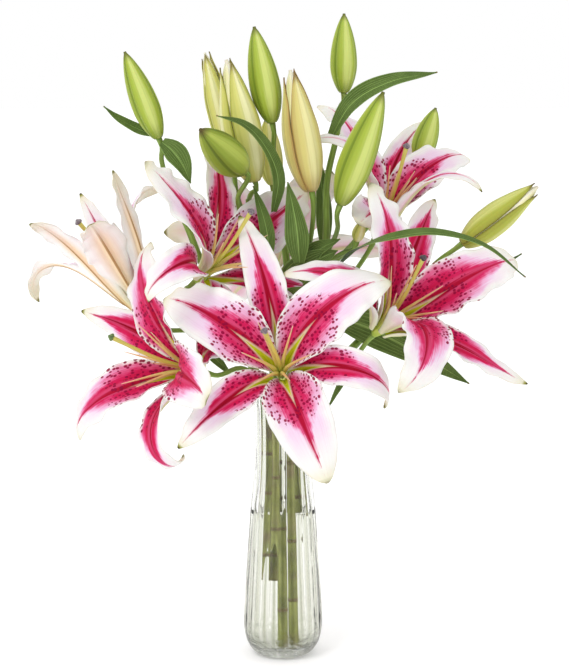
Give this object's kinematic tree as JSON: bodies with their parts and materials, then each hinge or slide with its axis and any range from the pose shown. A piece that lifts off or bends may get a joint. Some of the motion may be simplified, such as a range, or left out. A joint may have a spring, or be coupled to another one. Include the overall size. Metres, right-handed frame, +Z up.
{
  "type": "lilies in a vase",
  "caption": "Bouquet of open pink and white oriental lilies with buds and long leaves, standing in water in a tall fluted clear glass vase.",
  "frame": {"origin": "centre of the vase's foot, on the surface that it stands on", "axes": "+Z up, along the vase's axis; the front of the bouquet, with the open central flower, faces -Y; +X is to the right seen from the front"},
  "size_m": [0.4412, 0.3267, 0.5491],
  "materials": {
    "glass": "clear, polished",
    "water": null,
    "stem": "living plant tissue, stated as leather",
    "leaf": "living leaf, stated as leather",
    "petal": "living petal, white edged with a crimson band, stated as fabric",
    "flower_heart": "living plant tissue, stated as leather",
    "bud": "living plant tissue, stated as leather"
  },
  "bodies": {
    "root": {"back_left_lily": "petal", "back_lily": "petal", "back_right_lily": "petal", "bud_behind": "bud", "bud_cream": "bud", "bud_hidden": "bud", "bud_left": "bud", "bud_middle": "bud", "bud_near": "bud", "bud_nodding": "bud", "bud_opening": "bud", "bud_pale": "bud", "bud_right": "bud", "bud_small": "bud", "bud_top": "bud", "front_lily_heart": "flower_heart", "front_lily_petal_left": "petal", "front_lily_petal_low": "petal", "front_lily_petal_right": "petal", "front_lily_sepal_low_left": "petal", "front_lily_sepal_low_right": "petal", "front_lily_sepal_up": "petal", "leaf_arching": "leaf", "leaf_far_right": "leaf", "leaf_folded": "leaf", "leaf_inner": "leaf", "leaf_left": "leaf", "leaf_low_right": "leaf", "leaf_middle": "leaf", "leaf_right_arch": "leaf", "leaf_top_right": "leaf", "left_lily_heart": "flower_heart", "left_lily_petal_low": "petal", "left_lily_petal_near": "petal", "left_lily_petal_up": "petal", "left_lily_sepal_far": "petal", "left_lily_sepal_low": "petal", "left_lily_sepal_right": "petal", "right_lily_heart": "flower_heart", "right_lily_petal_near": "petal", "right_lily_petal_right": "petal", "right_lily_petal_up": "petal", "right_lily_sepal_left": "petal", "right_lily_sepal_low": "petal", "right_lily_sepal_up": "petal", "stem_front": "stem", "stem_left": "stem", "stem_middle": "stem", "stem_right": "stem", "stem_tall": "stem", "stem_upper": "stem", "upper_lily_heart": "flower_heart", "upper_lily_petal_left": "petal", "upper_lily_petal_near": "petal", "upper_lily_petal_right": "petal", "upper_lily_sepal_curled": "petal", "upper_lily_sepal_low": "petal", "upper_lily_sepal_up": "petal", "vase": "glass", "water": "water"}
  },
  "joints": []
}
